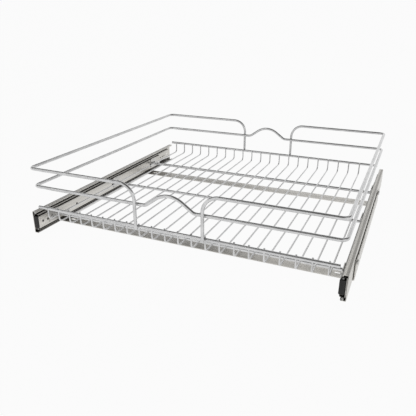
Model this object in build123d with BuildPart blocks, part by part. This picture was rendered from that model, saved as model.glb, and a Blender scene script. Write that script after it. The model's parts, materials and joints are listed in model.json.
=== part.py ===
"""Pull out cabinet basket: a welded wire basket between two full extension ball bearing slides.

Frame: x across the cabinet (+x right, seen from the front), y from front (-y) to back (+y),
z up from the cabinet floor. All lengths in millimetres.
"""
import os

from build123d import *

os.makedirs("parts", exist_ok=True)

sides = (("left", -1), ("right", 1))

# Wire stock
wire_radius = 3.0
floor_wire_radius = 1.5

# Middle rail: one closed loop with a raised hump at the centre of the front and the back
rail_x = 290.0
middle_rail_y = 273.0
middle_rail_z = 98.3
rail_corner_radius = 11.0
hump_foot_x = 46.1
hump_peak_z = 131.4
hump_foot_radius = 15.0
hump_top_radius = 42.7

# Upper rails: one wire each side, its posts outside the middle rail and the rims
upper_rail_z = 135.0
upper_rail_y = middle_rail_y + 2 * wire_radius
post_x = 63.9
post_bend_radius = 29.0

# Rim wires
rim_y = 273.0
rim_z = 55.8
rim_half_length = 285.0
post_bottom_z = rim_z - wire_radius

# Floor wires, bent up inside the rims
floor_wire_count = 22
floor_wire_pitch = 25.6
floor_z = 31.0
floor_bend_radius = 8.0
upright_y = rim_y - wire_radius - floor_wire_radius
front_tip_z = 58.5
back_tip_z = rim_z + wire_radius

# Cross wires under the floor wires
cross_wire_z = floor_z - floor_wire_radius - wire_radius
front_cross_y = -228.0
middle_cross_y = -24.0
rear_cross_y = 153.0

# Base: two strips and the side angles between them
strip_thickness = 1.5
strip_width = 30.0
front_strip_y = -195.5
rear_strip_y = 148.5
strip_bend_radius = 2.2
tab_inner_x = 300.9
tab_top_z = 35.0
tab_corner_radius = 5.0
angle_top_z = 32.0
angle_foot_x = 288.0
floor_slot_x = 273.0
floor_slot_length = 11.0
floor_slot_width = 5.5
pilot_hole_x = 264.6
pilot_hole_offset_y = 4.7
pilot_hole_radius = 1.5

# Slide section. Depth runs outward from the inner face, height from the slide's own axis.
slide_inner_x = 287.0
slide_depth = 12.7
slide_height = 45.0
slide_axis_z = strip_thickness + slide_height / 2
ball_clearance = 0.05
cabinet_steel = 1.2
cabinet_lip_depth = 4.2
cabinet_lip_height = 19.4
intermediate_steel = 1.0
intermediate_web_depth = 10.2
intermediate_lip_depth = 1.9
intermediate_lip_height = 14.8
drawer_steel = 1.2
drawer_flange_depth = 7.2
outer_ball_radius = 2.0
outer_ball_depth = 8.6
inner_ball_radius = 1.5
inner_ball_depth = 5.0
retainer_steel = 0.4
outer_retainer_web_depth = 11.1
outer_retainer_edge_depth = 5.4
inner_retainer_web_depth = 8.2
inner_retainer_edge_depth = 3.0
retainer_hole_clearance = 0.15
channel_bend_radius = 1.3
retainer_bend_radius = 0.9

cabinet_web_depth = slide_depth - cabinet_steel / 2
cabinet_flange_height = slide_height / 2 - cabinet_steel / 2
cabinet_inner_height = cabinet_flange_height - cabinet_steel / 2
outer_ball_height = cabinet_inner_height - ball_clearance - outer_ball_radius
intermediate_outer_height = outer_ball_height - outer_ball_radius - ball_clearance
intermediate_flange_height = intermediate_outer_height - intermediate_steel / 2
intermediate_inner_height = intermediate_outer_height - intermediate_steel
inner_ball_height = intermediate_inner_height - ball_clearance - inner_ball_radius
drawer_outer_height = inner_ball_height - inner_ball_radius - ball_clearance
drawer_flange_height = drawer_outer_height - drawer_steel / 2
drawer_inner_height = drawer_outer_height - drawer_steel

# Slide lengths, front end and back end of each member in the closed position
cabinet_front_y = -279.0
cabinet_back_y = 279.0
intermediate_front_y = -277.0
intermediate_back_y = 252.0
drawer_front_y = -278.0
drawer_back_y = 198.0
ball_pitch = 13.0
outer_ball_count = 18
outer_retainer_length = 240.0
outer_retainer_y = -13.5
inner_ball_count = 14
inner_retainer_length = 190.0
inner_retainer_y = -39.5

# Holes in the slide webs
web_hole_radius = 2.5
web_hole_z = 23.0
drawer_hole_positions = (-253.5, -163.5, -30.3, 146.5)
bumper_boss_y = -267.0
cabinet_rear_hole_y = 262.0
web_slot_positions = (220.0, 232.0, 241.0)
web_slot_length = 6.0
web_slot_width = 2.6
web_feature_z = 22.0

# Rivets that hold the cabinet members off the turned up tabs
front_rivet_y = front_strip_y - 3.5
rear_rivet_y = rear_strip_y + 0.5
rivet_radius = 2.5
rivet_clearance = 0.05
rivet_z = 30.0
rivet_shoulder_radius = 4.0
rivet_head_radius = 4.5
rivet_head_height = 2.0
rivet_head_rounding = 0.9

# Nylon buffers in the front ends of one outer and one inner ball race of each slide. Both
# slides are the same part, the right one turned over, so the races change places.
buffer_length = 5.0
buffer_clearance = 0.15
outer_buffer_radius = 1.9
inner_buffer_radius = 1.35
inner_buffer_depth = 4.9

# Black bumper in the front end of the drawer member
bumper_clearance = 0.1
bumper_plug_length = 17.0
bumper_plug_depth = 6.9
bumper_head_length = 3.5
bumper_head_bottom = -10.0
bumper_head_top = 14.0
bumper_head_depth = 9.0
bumper_rounding = 0.8

# Hanger plates welded to the ends of the cross wires, and their screw centres
plate_thickness = 1.5
plate_bottom_z = 14.0
plate_top_z = 38.0
plate_corner_radius = 2.5
front_plate_length = 28.0
front_plate_wire_margin = 6.0
front_screw_margin = 9.0
plate_length = 26.0
plate_wire_margin = 3.8
screw_margin = 8.0
screw_z = 24.3
plate_inner_x = slide_inner_x - plate_thickness
front_plate_back_y = front_cross_y + front_plate_wire_margin
front_plate_front_y = front_plate_back_y - front_plate_length
front_screw_y = front_plate_front_y + front_screw_margin
middle_plate_front_y = middle_cross_y - plate_wire_margin
middle_plate_back_y = middle_plate_front_y + plate_length
middle_screw_y = middle_plate_back_y - screw_margin
rear_plate_front_y = rear_cross_y - plate_wire_margin
rear_plate_back_y = rear_plate_front_y + plate_length
rear_screw_y = rear_plate_back_y - screw_margin
hanger_plates = (
    ("front", front_plate_front_y, front_plate_back_y, front_screw_y),
    ("middle", middle_plate_front_y, middle_plate_back_y, middle_screw_y),
    ("rear", rear_plate_front_y, rear_plate_back_y, rear_screw_y),
)
screw_positions = [(screw_y, screw_z) for _, _, _, screw_y in hanger_plates]

# Pan head screws through the hanger plates
screw_radius = 2.0
screw_clearance = 0.05
screw_head_radius = 3.5
screw_head_height = 2.4
screw_head_rounding = 1.2
screw_length = 3.6


def finish(builder, name):
    """Label one finished piece and write it to its own file."""
    builder.part.label = name
    export_step(builder.part, f"parts/{name}.step")


def across(y):
    """Upright plane facing the front, with x to the right and z up, at the given y."""
    return Plane(origin=(0, y, 0), x_dir=(1, 0, 0), z_dir=(0, -1, 0))


def on_slide(side, points):
    """Turn (depth, height) points of the slide section into x and z on the given side."""
    return [(side * (slide_inner_x + depth), slide_axis_z + height) for depth, height in points]


def folded_strip(points, bend_radius, thickness, front_y, back_y):
    """Sheet metal section along a folded centre line, running from front_y to back_y."""
    with BuildPart() as strip:
        with BuildSketch(across(back_y)):
            with BuildLine():
                FilletPolyline(*points, radius=bend_radius)
            trace(line_width=thickness)
        extrude(amount=back_y - front_y)
    return strip.part


def bent_wire(points, bend_radii, radius, closed=False):
    """Round wire along straight runs joined by bends."""
    with BuildPart() as wire:
        with BuildLine() as path:
            FilletPolyline(*points, radius=bend_radii, close=closed)
        with BuildSketch(Plane(origin=path.line @ 0, z_dir=path.line % 0)):
            Circle(radius)
        sweep()
    return wire.part


def ball_rows(side, depth, height, count, centre_y):
    """Centres of the balls in the upper and the lower race."""
    first_y = centre_y - ball_pitch * (count - 1) / 2
    x = side * (slide_inner_x + depth)
    return [
        (x, first_y + ball_pitch * step, slide_axis_z + row * height)
        for row in (-1, 1)
        for step in range(count)
    ]


# Rails, rims and cross wires of the basket
middle_rail_points = [
    (rail_x, -middle_rail_y, middle_rail_z),
    (rail_x, middle_rail_y, middle_rail_z),
    (hump_foot_x, middle_rail_y, middle_rail_z),
    (0, middle_rail_y, hump_peak_z),
    (-hump_foot_x, middle_rail_y, middle_rail_z),
    (-rail_x, middle_rail_y, middle_rail_z),
    (-rail_x, -middle_rail_y, middle_rail_z),
    (-hump_foot_x, -middle_rail_y, middle_rail_z),
    (0, -middle_rail_y, hump_peak_z),
    (hump_foot_x, -middle_rail_y, middle_rail_z),
]
hump_radii = [hump_foot_radius, hump_top_radius, hump_foot_radius]
middle_rail_radii = [rail_corner_radius, rail_corner_radius] + hump_radii
middle_rail_radii = middle_rail_radii + [rail_corner_radius, rail_corner_radius] + hump_radii
with BuildPart() as middle_rail:
    add(bent_wire(middle_rail_points, middle_rail_radii, wire_radius, closed=True))
finish(middle_rail, "middle_rail")

for side_name, side in sides:
    upper_rail_points = [
        (side * post_x, -upper_rail_y, post_bottom_z),
        (side * post_x, -upper_rail_y, upper_rail_z),
        (side * rail_x, -upper_rail_y, upper_rail_z),
        (side * rail_x, upper_rail_y, upper_rail_z),
        (side * post_x, upper_rail_y, upper_rail_z),
        (side * post_x, upper_rail_y, post_bottom_z),
    ]
    upper_rail_radii = [
        post_bend_radius,
        rail_corner_radius,
        rail_corner_radius,
        post_bend_radius,
    ]
    with BuildPart() as upper_rail:
        add(bent_wire(upper_rail_points, upper_rail_radii, wire_radius))
    finish(upper_rail, f"{side_name}_upper_rail")

straight_wires = (
    ("front_rim_wire", -rim_y, rim_z, rim_half_length),
    ("back_rim_wire", rim_y, rim_z, rim_half_length),
    ("front_cross_wire", front_cross_y, cross_wire_z, plate_inner_x),
    ("middle_cross_wire", middle_cross_y, cross_wire_z, plate_inner_x),
    ("rear_cross_wire", rear_cross_y, cross_wire_z, plate_inner_x),
)
for wire_name, wire_y, wire_z, half_length in straight_wires:
    with BuildPart() as straight_wire:
        with BuildSketch(Plane.YZ):
            with Locations((wire_y, wire_z)):
                Circle(wire_radius)
        extrude(amount=half_length, both=True)
    finish(straight_wire, wire_name)

# Floor wires
for number in range(floor_wire_count):
    wire_x = (number - (floor_wire_count - 1) / 2) * floor_wire_pitch
    floor_wire_points = [
        (wire_x, -upright_y, front_tip_z),
        (wire_x, -upright_y, floor_z),
        (wire_x, upright_y, floor_z),
        (wire_x, upright_y, back_tip_z),
    ]
    with BuildPart() as floor_wire:
        add(bent_wire(floor_wire_points, floor_bend_radius, floor_wire_radius))
    finish(floor_wire, f"floor_wire_{number + 1:02d}")

# Base strips with turned up ends
tab_x = tab_inner_x + strip_thickness / 2
strip_level = strip_thickness / 2
strip_points = [
    (-tab_x, tab_top_z),
    (-tab_x, strip_level),
    (tab_x, strip_level),
    (tab_x, tab_top_z),
]
base_strips = (
    ("front_crossmember", front_strip_y, front_rivet_y),
    ("rear_crossmember", rear_strip_y, rear_rivet_y),
)
for strip_name, strip_y, rivet_y in base_strips:
    strip_front_y = strip_y - strip_width / 2
    strip_back_y = strip_y + strip_width / 2
    with BuildPart() as crossmember:
        add(
            folded_strip(
                strip_points, strip_bend_radius, strip_thickness, strip_front_y, strip_back_y
            )
        )
        tab_corners = crossmember.edges().filter_by(Axis.X).group_by(Axis.Z)[-1]
        fillet(tab_corners, radius=tab_corner_radius)
        with BuildSketch(Plane.XY):
            with Locations((-floor_slot_x, strip_y), (floor_slot_x, strip_y)):
                SlotOverall(floor_slot_length, floor_slot_width)
            pilot_y = strip_y + pilot_hole_offset_y
            with Locations((-pilot_hole_x, pilot_y), (pilot_hole_x, pilot_y)):
                Circle(pilot_hole_radius)
        extrude(amount=strip_thickness, mode=Mode.SUBTRACT)
        with BuildSketch(Plane.YZ):
            with Locations((rivet_y, rivet_z)):
                Circle(rivet_radius + rivet_clearance)
        extrude(amount=tab_inner_x + strip_thickness, both=True, mode=Mode.SUBTRACT)
    finish(crossmember, strip_name)

# Side angles under the slides, between the two strips
for side_name, side in sides:
    angle_points = [
        (side * angle_foot_x, strip_level),
        (side * tab_x, strip_level),
        (side * tab_x, angle_top_z),
    ]
    angle_front_y = front_strip_y + strip_width / 2
    angle_back_y = rear_strip_y - strip_width / 2
    with BuildPart() as side_angle:
        add(
            folded_strip(
                angle_points, strip_bend_radius, strip_thickness, angle_front_y, angle_back_y
            )
        )
    finish(side_angle, f"{side_name}_side_angle")

# Slide members
for side_name, side in sides:
    web_start_x = side * (slide_inner_x + slide_depth / 2)

    cabinet_points = [
        (cabinet_lip_depth, -cabinet_lip_height),
        (cabinet_lip_depth, -cabinet_flange_height),
        (cabinet_web_depth, -cabinet_flange_height),
        (cabinet_web_depth, cabinet_flange_height),
        (cabinet_lip_depth, cabinet_flange_height),
        (cabinet_lip_depth, cabinet_lip_height),
    ]
    with BuildPart() as cabinet_member:
        add(
            folded_strip(
                on_slide(side, cabinet_points),
                channel_bend_radius,
                cabinet_steel,
                cabinet_front_y,
                cabinet_back_y,
            )
        )
        with BuildSketch(Plane.YZ.offset(web_start_x)):
            with Locations((front_rivet_y, rivet_z), (rear_rivet_y, rivet_z)):
                Circle(rivet_radius + rivet_clearance)
            with Locations((cabinet_rear_hole_y, web_feature_z)):
                Circle(web_hole_radius)
        extrude(amount=side * slide_depth, mode=Mode.SUBTRACT)
    finish(cabinet_member, f"{side_name}_cabinet_member")

    intermediate_points = [
        (intermediate_lip_depth, -intermediate_lip_height),
        (intermediate_lip_depth, -intermediate_flange_height),
        (intermediate_web_depth, -intermediate_flange_height),
        (intermediate_web_depth, intermediate_flange_height),
        (intermediate_lip_depth, intermediate_flange_height),
        (intermediate_lip_depth, intermediate_lip_height),
    ]
    with BuildPart() as intermediate_member:
        add(
            folded_strip(
                on_slide(side, intermediate_points),
                channel_bend_radius,
                intermediate_steel,
                intermediate_front_y,
                intermediate_back_y,
            )
        )
        with BuildSketch(Plane.YZ.offset(web_start_x)):
            for slot_y in web_slot_positions:
                with Locations((slot_y, web_feature_z)):
                    SlotOverall(web_slot_length, web_slot_width)
        extrude(amount=side * slide_depth, mode=Mode.SUBTRACT)
    finish(intermediate_member, f"{side_name}_intermediate_member")

    drawer_points = [
        (drawer_flange_depth, -drawer_flange_height),
        (drawer_steel / 2, -drawer_flange_height),
        (drawer_steel / 2, drawer_flange_height),
        (drawer_flange_depth, drawer_flange_height),
    ]
    with BuildPart() as drawer_member:
        add(
            folded_strip(
                on_slide(side, drawer_points),
                channel_bend_radius,
                drawer_steel,
                drawer_front_y,
                drawer_back_y,
            )
        )
        with BuildSketch(Plane.YZ.offset(side * slide_inner_x)):
            for hole_y in drawer_hole_positions:
                with Locations((hole_y, web_hole_z)):
                    Circle(web_hole_radius)
            with Locations((bumper_boss_y, slide_axis_z)):
                Circle(web_hole_radius)
            with Locations(*screw_positions):
                Circle(screw_radius + screw_clearance)
        extrude(amount=side * drawer_steel, mode=Mode.SUBTRACT)
    finish(drawer_member, f"{side_name}_drawer_member")

# Ball retainers and balls
for side_name, side in sides:
    outer_retainer_points = [
        (outer_retainer_edge_depth, -outer_ball_height),
        (outer_retainer_web_depth, -outer_ball_height),
        (outer_retainer_web_depth, outer_ball_height),
        (outer_retainer_edge_depth, outer_ball_height),
    ]
    outer_row = ball_rows(
        side, outer_ball_depth, outer_ball_height, outer_ball_count, outer_retainer_y
    )
    with BuildPart() as outer_retainer:
        add(
            folded_strip(
                on_slide(side, outer_retainer_points),
                retainer_bend_radius,
                retainer_steel,
                outer_retainer_y - outer_retainer_length / 2,
                outer_retainer_y + outer_retainer_length / 2,
            )
        )
        with Locations(*outer_row):
            Cylinder(
                outer_ball_radius + retainer_hole_clearance,
                4 * retainer_steel,
                mode=Mode.SUBTRACT,
            )
    finish(outer_retainer, f"{side_name}_outer_ball_retainer")

    with BuildPart() as outer_balls:
        with Locations(*outer_row):
            Sphere(outer_ball_radius)
    finish(outer_balls, f"{side_name}_outer_balls")

    inner_retainer_points = [
        (inner_retainer_edge_depth, -inner_ball_height),
        (inner_retainer_web_depth, -inner_ball_height),
        (inner_retainer_web_depth, inner_ball_height),
        (inner_retainer_edge_depth, inner_ball_height),
    ]
    inner_row = ball_rows(
        side, inner_ball_depth, inner_ball_height, inner_ball_count, inner_retainer_y
    )
    with BuildPart() as inner_retainer:
        add(
            folded_strip(
                on_slide(side, inner_retainer_points),
                retainer_bend_radius,
                retainer_steel,
                inner_retainer_y - inner_retainer_length / 2,
                inner_retainer_y + inner_retainer_length / 2,
            )
        )
        with Locations(*inner_row):
            Cylinder(
                inner_ball_radius + retainer_hole_clearance,
                4 * retainer_steel,
                mode=Mode.SUBTRACT,
            )
    finish(inner_retainer, f"{side_name}_inner_ball_retainer")

    with BuildPart() as inner_balls:
        with Locations(*inner_row):
            Sphere(inner_ball_radius)
    finish(inner_balls, f"{side_name}_inner_balls")

# Rivets through the tabs and the cabinet member webs
web_inner_x = slide_inner_x + slide_depth - cabinet_steel
web_outer_x = slide_inner_x + slide_depth
tab_outer_x = tab_inner_x + strip_thickness
with BuildPart() as slide_rivets:
    for _, side in sides:
        for rivet_y in (front_rivet_y, rear_rivet_y):
            with BuildSketch(Plane.YZ.offset(side * web_inner_x)):
                with Locations((rivet_y, rivet_z)):
                    Circle(rivet_radius)
            extrude(amount=side * (tab_outer_x - web_inner_x))
            with BuildSketch(Plane.YZ.offset(side * web_outer_x)):
                with Locations((rivet_y, rivet_z)):
                    Circle(rivet_shoulder_radius)
            extrude(amount=side * (tab_inner_x - web_outer_x))
            with BuildSketch(Plane.YZ.offset(side * tab_outer_x)):
                with Locations((rivet_y, rivet_z)):
                    Circle(rivet_head_radius)
            extrude(amount=side * rivet_head_height)
    head_rims = [
        edge
        for edge in slide_rivets.edges().filter_by(GeomType.CIRCLE)
        if abs(abs(edge.arc_center.X) - tab_outer_x - rivet_head_height) < 0.01
    ]
    fillet(head_rims, radius=rivet_head_rounding)
finish(slide_rivets, "slide_rivets")

# Nylon buffers, on the cabinet members in an outer race and on the drawer members in an inner one
with BuildPart() as outer_race_buffers:
    lip_back_depth = cabinet_lip_depth + cabinet_steel / 2
    outer_buffer_depth = lip_back_depth + buffer_clearance + outer_buffer_radius
    outer_buffer_height = cabinet_inner_height - outer_buffer_radius
    for _, side in sides:
        with BuildSketch(across(cabinet_front_y + buffer_length)):
            with Locations(*on_slide(side, [(outer_buffer_depth, -side * outer_buffer_height)])):
                Circle(outer_buffer_radius)
        extrude(amount=buffer_length)
finish(outer_race_buffers, "outer_race_buffers")

with BuildPart() as inner_race_buffers:
    inner_buffer_height = drawer_outer_height + inner_buffer_radius
    for _, side in sides:
        with BuildSketch(across(drawer_front_y + buffer_length)):
            with Locations(*on_slide(side, [(inner_buffer_depth, side * inner_buffer_height)])):
                Circle(inner_buffer_radius)
        extrude(amount=buffer_length)
finish(inner_race_buffers, "inner_race_buffers")

# Front bumpers
for side_name, side in sides:
    plug_half_height = drawer_inner_height - bumper_clearance
    plug_start = drawer_steel + bumper_clearance
    plug_x = side * (slide_inner_x + (plug_start + bumper_plug_depth) / 2)
    head_x = side * (slide_inner_x + bumper_head_depth / 2)
    head_z = slide_axis_z + (bumper_head_bottom + bumper_head_top) / 2
    with BuildPart() as front_bumper:
        with BuildSketch(across(drawer_front_y + bumper_plug_length)):
            with Locations((plug_x, slide_axis_z)):
                RectangleRounded(
                    bumper_plug_depth - plug_start, 2 * plug_half_height, bumper_rounding
                )
        extrude(amount=bumper_plug_length)
        with BuildSketch(across(drawer_front_y)):
            with Locations((head_x, head_z)):
                RectangleRounded(
                    bumper_head_depth, bumper_head_top - bumper_head_bottom, bumper_rounding
                )
        extrude(amount=bumper_head_length)
        fillet(front_bumper.faces().sort_by(Axis.Y)[0].edges(), radius=bumper_rounding / 2)
        with BuildSketch(Plane.YZ.offset(side * slide_inner_x)):
            with Locations((bumper_boss_y, slide_axis_z)):
                Circle(web_hole_radius - bumper_clearance)
        extrude(amount=side * (plug_start + bumper_clearance))
    finish(front_bumper, f"{side_name}_front_bumper")

# Hanger plates
for side_name, side in sides:
    for plate_name, plate_front_y, plate_back_y, screw_y in hanger_plates:
        plate_centre = ((plate_front_y + plate_back_y) / 2, (plate_bottom_z + plate_top_z) / 2)
        with BuildPart() as hanger_plate:
            with BuildSketch(Plane.YZ.offset(side * plate_inner_x)):
                with Locations(plate_centre):
                    RectangleRounded(
                        plate_back_y - plate_front_y,
                        plate_top_z - plate_bottom_z,
                        plate_corner_radius,
                    )
                with Locations((screw_y, screw_z)):
                    Circle(screw_radius + screw_clearance, mode=Mode.SUBTRACT)
            extrude(amount=side * plate_thickness)
        finish(hanger_plate, f"{side_name}_{plate_name}_hanger_plate")

# Hanger screws
with BuildPart() as hanger_screws:
    for _, side in sides:
        with BuildSketch(Plane.YZ.offset(side * plate_inner_x)):
            with Locations(*screw_positions):
                Circle(screw_radius)
        extrude(amount=side * screw_length)
        with BuildSketch(Plane.YZ.offset(side * plate_inner_x)):
            with Locations(*screw_positions):
                Circle(screw_head_radius)
        extrude(amount=-side * screw_head_height)
    head_rims = [
        edge
        for edge in hanger_screws.edges().filter_by(GeomType.CIRCLE)
        if abs(abs(edge.arc_center.X) - plate_inner_x + screw_head_height) < 0.01
    ]
    fillet(head_rims, radius=screw_head_rounding)
finish(hanger_screws, "hanger_screws")
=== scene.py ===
"""Looks of the pull out cabinet basket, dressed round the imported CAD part. Metres, +Z up."""

import json
import math

import bmesh
import bpy
from mathutils import Matrix, Vector


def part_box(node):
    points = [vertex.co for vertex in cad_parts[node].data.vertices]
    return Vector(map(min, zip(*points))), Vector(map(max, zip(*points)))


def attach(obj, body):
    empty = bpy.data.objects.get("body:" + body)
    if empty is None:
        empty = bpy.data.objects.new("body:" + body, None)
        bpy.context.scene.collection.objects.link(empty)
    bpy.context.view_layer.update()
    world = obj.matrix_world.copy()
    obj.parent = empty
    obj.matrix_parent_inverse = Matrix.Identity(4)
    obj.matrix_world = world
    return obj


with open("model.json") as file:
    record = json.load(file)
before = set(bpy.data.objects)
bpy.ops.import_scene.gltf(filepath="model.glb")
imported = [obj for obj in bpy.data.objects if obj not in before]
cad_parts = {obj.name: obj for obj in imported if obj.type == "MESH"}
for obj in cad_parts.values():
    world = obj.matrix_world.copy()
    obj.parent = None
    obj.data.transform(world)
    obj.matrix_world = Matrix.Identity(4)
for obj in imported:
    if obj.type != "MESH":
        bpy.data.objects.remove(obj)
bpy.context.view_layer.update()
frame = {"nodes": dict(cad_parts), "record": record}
nodes = frame["nodes"]


def centre(node_name):
    """Middle of a node's box."""
    corner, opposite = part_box(node_name)
    return (corner + opposite) / 2


# ---------------------------------------------------------------- material building blocks
# Noise scales, in patches per metre
cloud_scale = 60.0
streak_scale = 260.0
grain_scale = 900.0
grease_and_shade_scale = 160.0
plastic_cloud_scale = 90.0
plastic_grain_scale = 1400.0

# Noise detail and roughness
usual_detail = 4.0
streak_detail = 3.0
noise_roughness = 0.55

# Share of the noise range at each end that has the plain dark or the plain light colour
metal_margin = 0.30
plastic_margin = 0.35

bump_strength = 0.4

# Stretch of the object coordinates: grain runs along the axis with the small value
along_y = (1.0, 0.04, 1.0)
along_x = (0.04, 1.0, 1.0)
even = (1.0, 1.0, 1.0)


def material(name, metallic):
    """New material with its node tree, shader and texture coordinates."""
    made = bpy.data.materials.new(name)
    made.use_nodes = True
    tree = made.node_tree
    shader = tree.nodes["Principled BSDF"]
    shader.inputs["Metallic"].default_value = metallic
    return made, tree, shader, tree.nodes.new("ShaderNodeTexCoord")


def stretched(tree, coordinates, scale):
    """Object coordinates stretched by scale."""
    mapping = tree.nodes.new("ShaderNodeMapping")
    mapping.inputs["Scale"].default_value = scale
    tree.links.new(coordinates.outputs["Object"], mapping.inputs["Vector"])
    return mapping.outputs["Vector"]


def noise(tree, vector, scale, detail=usual_detail):
    """Noise texture on the given coordinates."""
    texture = tree.nodes.new("ShaderNodeTexNoise")
    texture.inputs["Scale"].default_value = scale
    texture.inputs["Detail"].default_value = detail
    texture.inputs["Roughness"].default_value = noise_roughness
    tree.links.new(vector, texture.inputs["Vector"])
    return texture.outputs["Fac"]


def clouded(tree, factor, dark, light, margin):
    """Colour that runs from dark to light with a factor, and is plain at both ends."""
    node = tree.nodes.new("ShaderNodeValToRGB")
    first, last = node.color_ramp.elements
    first.position = margin
    first.color = (*dark, 1.0)
    last.position = 1.0 - margin
    last.color = (*light, 1.0)
    tree.links.new(factor, node.inputs["Fac"])
    return node.outputs["Color"]


def spread(tree, factor, low, high):
    """Map a 0 to 1 factor to low to high."""
    node = tree.nodes.new("ShaderNodeMapRange")
    node.inputs["To Min"].default_value = low
    node.inputs["To Max"].default_value = high
    tree.links.new(factor, node.inputs["Value"])
    return node.outputs["Result"]


def math_node(tree, operation, *values):
    """Math node on sockets or plain numbers."""
    node = tree.nodes.new("ShaderNodeMath")
    node.operation = operation
    for socket, value in zip(node.inputs, values):
        if isinstance(value, (int, float)):
            socket.default_value = value
        else:
            tree.links.new(value, socket)
    return node.outputs[0]


def bump(tree, shader, height, distance):
    """Bump from a height factor."""
    node = tree.nodes.new("ShaderNodeBump")
    node.inputs["Distance"].default_value = distance
    node.inputs["Strength"].default_value = bump_strength
    tree.links.new(height, node.inputs["Height"])
    tree.links.new(node.outputs["Normal"], shader.inputs["Normal"])


def steel_surface(tree, shader, vector, color, rough, bump_height):
    """Colour, streaked roughness and fine grain of a steel surface."""
    tree.links.new(color, shader.inputs["Base Color"])
    streak = noise(tree, vector, streak_scale, detail=streak_detail)
    tree.links.new(spread(tree, streak, *rough), shader.inputs["Roughness"])
    bump(tree, shader, noise(tree, vector, grain_scale), bump_height)


# ---------------------------------------------------------------- metals and plastics
def metal(name, dark, light, rough, grain, bump_height, metallic=1.0):
    """Plated or rolled steel with a cloudy colour."""
    made, tree, shader, coordinates = material(name, metallic)
    vector = stretched(tree, coordinates, grain)
    color = clouded(tree, noise(tree, vector, cloud_scale), dark, light, metal_margin)
    steel_surface(tree, shader, vector, color, rough, bump_height)
    return made


def plastic(name, dark, light, rough, bump_height):
    """Moulded plastic with a faint spark eroded grain."""
    made, tree, shader, coordinates = material(name, metallic=0.0)
    vector = stretched(tree, coordinates, even)
    cloud = noise(tree, vector, plastic_cloud_scale)
    color = clouded(tree, cloud, dark, light, plastic_margin)
    tree.links.new(color, shader.inputs["Base Color"])
    tree.links.new(spread(tree, cloud, *rough), shader.inputs["Roughness"])
    bump(tree, shader, noise(tree, vector, plastic_grain_scale), bump_height)
    return made


looks = {
    "bright_wire": metal(
        "bright plated wire",
        dark=(0.56, 0.562, 0.565),
        light=(0.68, 0.681, 0.683),
        rough=(0.18, 0.27),
        grain=even,
        bump_height=0.00001,
    ),
    "hanger_steel": metal(
        "zinc plated plate",
        dark=(0.50, 0.495, 0.48),
        light=(0.64, 0.63, 0.61),
        rough=(0.28, 0.42),
        grain=even,
        bump_height=0.00003,
    ),
    "screw_zinc": metal(
        "zinc plated screw",
        dark=(0.44, 0.44, 0.43),
        light=(0.58, 0.58, 0.57),
        rough=(0.22, 0.34),
        grain=even,
        bump_height=0.00002,
    ),
    # Near black retainer: grease with painted shade of the deep ball race
    "retainer_steel": metal(
        "greased retainer with painted shade",
        dark=(0.02, 0.018, 0.015),
        light=(0.05, 0.046, 0.04),
        rough=(0.35, 0.55),
        grain=along_y,
        bump_height=0.00003,
    ),
    "ball_steel": metal(
        "steel ball",
        dark=(0.30, 0.30, 0.30),
        light=(0.44, 0.44, 0.44),
        rough=(0.10, 0.20),
        grain=even,
        bump_height=0.000005,
    ),
    "galvanised_strip": metal(
        "galvanised strip",
        dark=(0.54, 0.525, 0.49),
        light=(0.74, 0.72, 0.685),
        rough=(0.26, 0.42),
        grain=along_x,
        bump_height=0.00004,
        metallic=0.85,
    ),
    "black_plastic": plastic(
        "black plastic",
        dark=(0.004, 0.004, 0.004),
        light=(0.010, 0.010, 0.0095),
        rough=(0.42, 0.58),
        bump_height=0.00003,
    ),
    "white_nylon": plastic(
        "white nylon",
        dark=(0.88, 0.88, 0.85),
        light=(0.95, 0.95, 0.93),
        rough=(0.27, 0.43),
        bump_height=0.00001,
    ),
}

# ---------------------------------------------------------------- slide members
# Depth runs outward from the slides' inner face, height both ways from their axis. A band is
# (depth from, depth to, height from, height to).
slide_inner_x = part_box("right_drawer_member")[0].x
slide_axis_z = centre("right_cabinet_member").z
band_edge = 0.0003  # width of a band's soft edge

slide_rough = (0.28, 0.44)
slide_bump_height = 0.00003
# Painted shade: a dark line along each member where a lip or crease lies in shade
shade_line_color = (0.10, 0.095, 0.085)
shade_line_share = 0.45
# Painted shade on the members' lower lips, below the axis
underside_shade_color = (0.05, 0.047, 0.042)
underside_shade_share = 0.75
underside_shade_depths = (0.0008, 0.0060)
underside_shade_drop = 0.0145  # below the axis
# Grease in the ball races together with painted shade deep in the channel
grease_and_shade_color = (0.018, 0.016, 0.013)


def rising(tree, value, start):
    """0 below start and 1 above it, over a soft edge."""
    node = tree.nodes.new("ShaderNodeMapRange")
    node.inputs["From Min"].default_value = start - band_edge / 2
    node.inputs["From Max"].default_value = start + band_edge / 2
    tree.links.new(value, node.inputs["Value"])
    return node.outputs["Result"]


def between(tree, value, low, high):
    """1 between low and high, 0 outside."""
    return math_node(tree, "SUBTRACT", rising(tree, value, low), rising(tree, value, high))


def in_band(tree, depth, height, band):
    """1 inside a band of depth and height, 0 outside."""
    near, far, bottom, top = band
    deep = between(tree, depth, near, far)
    return math_node(tree, "MULTIPLY", deep, between(tree, height, bottom, top))


def painted(tree, factor, color, paint):
    """Plain paint laid over a colour as far as the factor says."""
    node = tree.nodes.new("ShaderNodeMix")
    node.data_type = "RGBA"
    node.inputs["B"].default_value = (*paint, 1.0)
    tree.links.new(factor, node.inputs["Factor"])
    tree.links.new(color, node.inputs["A"])
    return node.outputs["Result"]


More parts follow.
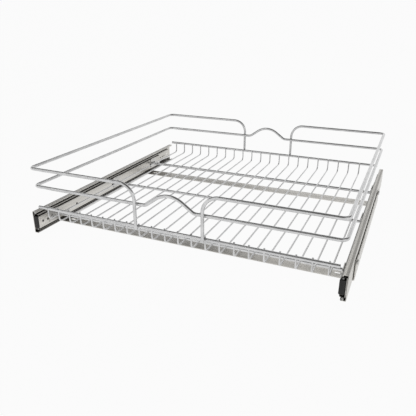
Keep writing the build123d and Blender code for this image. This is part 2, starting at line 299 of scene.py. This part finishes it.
def slide_metal(name, dark, light, shade_line, grease_and_shade, grease_and_shade_share):
    """Rolled steel with a painted shade line, painted shade underneath, and grease with painted
    shade where the balls run.

    The shade line and the grease are bands of depth and height, and the grease share is the
    least and the most that the grease and its painted shade hide.
    """
    made, tree, shader, coordinates = material(name, metallic=1.0)
    vector = stretched(tree, coordinates, along_y)
    color = clouded(tree, noise(tree, vector, cloud_scale), dark, light, metal_margin)

    axes = tree.nodes.new("ShaderNodeSeparateXYZ")
    tree.links.new(coordinates.outputs["Object"], axes.inputs[0])
    outward = math_node(tree, "ABSOLUTE", axes.outputs["X"])
    depth = math_node(tree, "SUBTRACT", outward, slide_inner_x)
    rise = math_node(tree, "SUBTRACT", axes.outputs["Z"], slide_axis_z)
    height = math_node(tree, "ABSOLUTE", rise)

    # Painted shade line along the member
    on_shade_line = in_band(tree, depth, height, shade_line)
    color = painted(tree, math_node(tree, "MULTIPLY", on_shade_line, shade_line_share), color, shade_line_color)

    # Painted shade on the underside of the member
    below = math_node(tree, "SUBTRACT", 1.0, rising(tree, rise, -underside_shade_drop))
    underside_shade = math_node(tree, "MULTIPLY", below, between(tree, depth, *underside_shade_depths))
    underside_shade = math_node(tree, "MULTIPLY", underside_shade, underside_shade_share)
    color = painted(tree, underside_shade, color, underside_shade_color)

    # Grease with painted shade of the deep channel where the balls run
    grease_and_shade_patches = spread(tree, noise(tree, vector, grease_and_shade_scale), *grease_and_shade_share)
    greased_and_shaded = math_node(tree, "MULTIPLY", in_band(tree, depth, height, grease_and_shade), grease_and_shade_patches)
    color = painted(tree, greased_and_shaded, color, grease_and_shade_color)

    steel_surface(tree, shader, vector, color, slide_rough, slide_bump_height)
    return made


inner_dark = (0.52, 0.505, 0.475)
inner_light = (0.68, 0.665, 0.63)
slide_looks = {
    "cabinet_member": slide_metal(
        "outer slide member",
        dark=(0.54, 0.525, 0.495),
        light=(0.70, 0.685, 0.65),
        shade_line=(0.0080, 0.0130, 0.0220, 0.0230),
        grease_and_shade=(0.0052, 0.0119, 0.0150, 0.0214),
        grease_and_shade_share=(0.77, 0.93),
    ),
    "intermediate_member": slide_metal(
        "middle slide member",
        dark=inner_dark,
        light=inner_light,
        shade_line=(0.0010, 0.0027, 0.0140, 0.0175),
        grease_and_shade=(0.0027, 0.0098, 0.0120, 0.0214),
        grease_and_shade_share=(0.84, 1.0),
    ),
    "drawer_member": slide_metal(
        "inner slide member",
        dark=inner_dark,
        light=inner_light,
        shade_line=(-0.001, 0.0002, 0.0126, 0.0135),
        grease_and_shade=(0.0003, 0.0119, 0.0110, 0.0214),
        grease_and_shade_share=(0.84, 1.0),
    ),
}

# ---------------------------------------------------------------- finish of every node
slot_of = {part["node"]: part["material_slot"] for part in frame["record"]["subparts"]}
for node_name, node in nodes.items():
    name_without_side = node_name.split("_", 1)[1]
    node.data.materials.clear()
    node.data.materials.append(slide_looks.get(name_without_side) or looks[slot_of[node_name]])

# ---------------------------------------------------------------- weld beads
# Size of a bead across x, y and z
floor_weld = (0.0036, 0.0036, 0.0016)
rim_weld = (0.0036, 0.0016, 0.0034)
post_weld = (0.0052, 0.0018, 0.0048)
bead_subdivisions = 2


def bead(form, place, size):
    """Small smooth weld bead: a ball of unit diameter brought to size."""
    shape = Matrix.Translation(place) @ Matrix.Diagonal((*size, 1.0))
    bmesh.ops.create_icosphere(form, subdivisions=bead_subdivisions, radius=0.5, matrix=shape)


def floor_welds(form):
    """Beads where each floor wire lies on the cross wires and stands against the rims."""
    for wire_name in sorted(name for name in nodes if name.startswith("floor_wire_")):
        wire_low, wire_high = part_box(wire_name)
        wire_x = centre(wire_name).x
        for cross_name in ("front_cross_wire", "middle_cross_wire", "rear_cross_wire"):
            cross_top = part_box(cross_name)[1].z
            bead(form, (wire_x, centre(cross_name).y, cross_top), floor_weld)
        contacts = (("front_rim_wire", wire_low.y), ("back_rim_wire", wire_high.y))
        for rim_name, contact_y in contacts:
            bead(form, (wire_x, contact_y, centre(rim_name).z), rim_weld)


def post_welds(form):
    """Beads where the posts of the upper rails cross the middle rail and the rims."""
    rim_low, rim_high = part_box("front_rim_wire")
    wire_radius = (rim_high.y - rim_low.y) / 2
    rail_low, rail_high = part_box("middle_rail")
    left_post_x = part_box("left_upper_rail")[1].x - wire_radius
    right_post_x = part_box("right_upper_rail")[0].x + wire_radius
    weld_heights = (rail_low.z + wire_radius, centre("front_rim_wire").z)
    for post_x in (left_post_x, right_post_x):
        for contact_y in (rail_low.y, rail_high.y):
            for weld_z in weld_heights:
                bead(form, (post_x, contact_y, weld_z), post_weld)


def add_detail(name, form, slot, body):
    """Turn a mesh form into a piece that rides on a body and takes its finish from a slot."""
    mesh = bpy.data.meshes.new(name)
    form.to_mesh(mesh)
    form.free()
    mesh.shade_smooth()
    mesh.materials.append(looks[slot])
    piece = bpy.data.objects.new(name, mesh)
    bpy.context.scene.collection.objects.link(piece)
    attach(piece, body)


welds = bmesh.new()
floor_welds(welds)
post_welds(welds)
add_detail("wire_welds", welds, "bright_wire", "basket")

# ---------------------------------------------------------------- studio floor
floor_radius = 2.4
wall_radius = 3.6
wall_height = 1.55
floor_level = -0.0002
curve_steps = 12
round_steps = 96
merge_distance = 0.00001

floor_white = (0.90, 0.90, 0.90, 1.0)
floor_roughness = 0.9
plain_white_strength = 1.0
plain_white_share = 0.95


def pale_floor():
    """Matt white that shows nearly plain white, with the object's shadow still on it."""
    made = bpy.data.materials.new("pale floor")
    made.use_nodes = True
    tree = made.node_tree
    shader = tree.nodes["Principled BSDF"]
    shader.inputs["Base Color"].default_value = floor_white
    shader.inputs["Roughness"].default_value = floor_roughness
    shader.inputs["Specular IOR Level"].default_value = 0.0
    glow = tree.nodes.new("ShaderNodeEmission")
    glow.inputs["Strength"].default_value = plain_white_strength
    path = tree.nodes.new("ShaderNodeLightPath")
    seen = path.outputs["Is Camera Ray"]
    for other in ("Is Glossy Ray", "Is Transmission Ray"):
        seen = math_node(tree, "MAXIMUM", seen, path.outputs[other])
    mix = tree.nodes.new("ShaderNodeMixShader")
    tree.links.new(math_node(tree, "MULTIPLY", seen, plain_white_share), mix.inputs["Fac"])
    tree.links.new(shader.outputs["BSDF"], mix.inputs[1])
    tree.links.new(glow.outputs["Emission"], mix.inputs[2])
    tree.links.new(mix.outputs["Shader"], tree.nodes["Material Output"].inputs["Surface"])
    return made


def bowl_profile():
    """(reach, height) of a floor that curves up into a wall; its middle half shades flat."""
    profile = [(0.0, 0.0), (floor_radius / 2, 0.0), (floor_radius, 0.0)]
    for step in range(1, curve_steps + 1):
        turn = math.radians(90.0 * step / curve_steps)
        reach = floor_radius + (wall_radius - floor_radius) * math.sin(turn)
        profile.append((reach, wall_height * (1 - math.cos(turn))))
    return profile


def studio_bowl():
    """Floor with a wall all round, open at the top."""
    form = bmesh.new()
    places = [(reach, 0.0, floor_level + height) for reach, height in bowl_profile()]
    points = [form.verts.new(place) for place in places]
    edges = [form.edges.new(pair) for pair in zip(points, points[1:])]
    bmesh.ops.spin(
        form,
        geom=points + edges,
        cent=(0, 0, 0),
        axis=(0, 0, 1),
        angle=math.tau,
        steps=round_steps,
        use_merge=True,
    )
    bmesh.ops.remove_doubles(form, verts=form.verts, dist=merge_distance)
    bmesh.ops.recalc_face_normals(form, faces=form.faces)
    # The faces look inward and up, at the object
    if sum(face.normal.z for face in form.faces) < 0:
        bmesh.ops.reverse_faces(form, faces=form.faces)
    mesh = bpy.data.meshes.new("studio floor")
    form.to_mesh(mesh)
    form.free()
    mesh.shade_smooth()
    mesh.materials.append(pale_floor())
    bowl = bpy.data.objects.new("studio_floor", mesh)
    bpy.context.scene.collection.objects.link(bowl)


studio_bowl()

# ---------------------------------------------------------------- world and lamps
# The world shows only above the wall, as a dim ceiling
world_color = (1.0, 0.99, 0.975, 1.0)
world_strength = 0.17
lamp_aim = (0, 0, 0.05)
lamp_height_share = 0.7

world = bpy.data.worlds.new("studio")
bpy.context.scene.world = world
world.use_nodes = True
world_shade = world.node_tree.nodes["Background"]
world_shade.inputs["Color"].default_value = world_color
world_shade.inputs["Strength"].default_value = world_strength


def soft_light(name, place, width, watts):
    """Large studio light aimed at the object."""
    data = bpy.data.lights.new(name, "AREA")
    data.shape = "RECTANGLE"
    data.size = width
    data.size_y = width * lamp_height_share
    data.energy = watts
    lamp = bpy.data.objects.new(name, data)
    lamp.location = place
    lamp.rotation_mode = "QUATERNION"
    lamp.rotation_quaternion = (Vector(lamp_aim) - Vector(place)).to_track_quat("-Z", "Y")
    bpy.context.scene.collection.objects.link(lamp)


soft_light("key", (-1.6, -1.8, 2.2), width=1.9, watts=9.0)
soft_light("fill", (2.2, -1.2, 1.5), width=2.0, watts=5.0)
soft_light("back", (0.2, 2.4, 1.9), width=2.0, watts=7.0)

# ---------------------------------------------------------------- camera, as fitted to the photo
picture_width = 416.0  # pixels
focal_length = 467.64  # pixels
centre_offset = 0.4  # pixels, from the lens axis right and down to the picture's middle
sensor_width = 36.0  # millimetres
camera_place = (0.3518, -0.9057, 0.3978)
camera_dip = 0.3894  # radians below level
camera_turn = 0.4184  # radians to the left of +Y
nearest_view = 0.01

camera_data = bpy.data.cameras.new("camera")
camera_data.sensor_width = sensor_width
camera_data.lens = focal_length / picture_width * sensor_width
camera_data.clip_start = nearest_view
camera_data.shift_x = centre_offset / picture_width
camera_data.shift_y = -centre_offset / picture_width
camera = bpy.data.objects.new("camera", camera_data)
camera.location = camera_place
camera.rotation_euler = (math.pi / 2 - camera_dip, 0.0, camera_turn)
bpy.context.scene.collection.objects.link(camera)
bpy.context.scene.camera = camera
bpy.context.scene.view_settings.view_transform = "Standard"
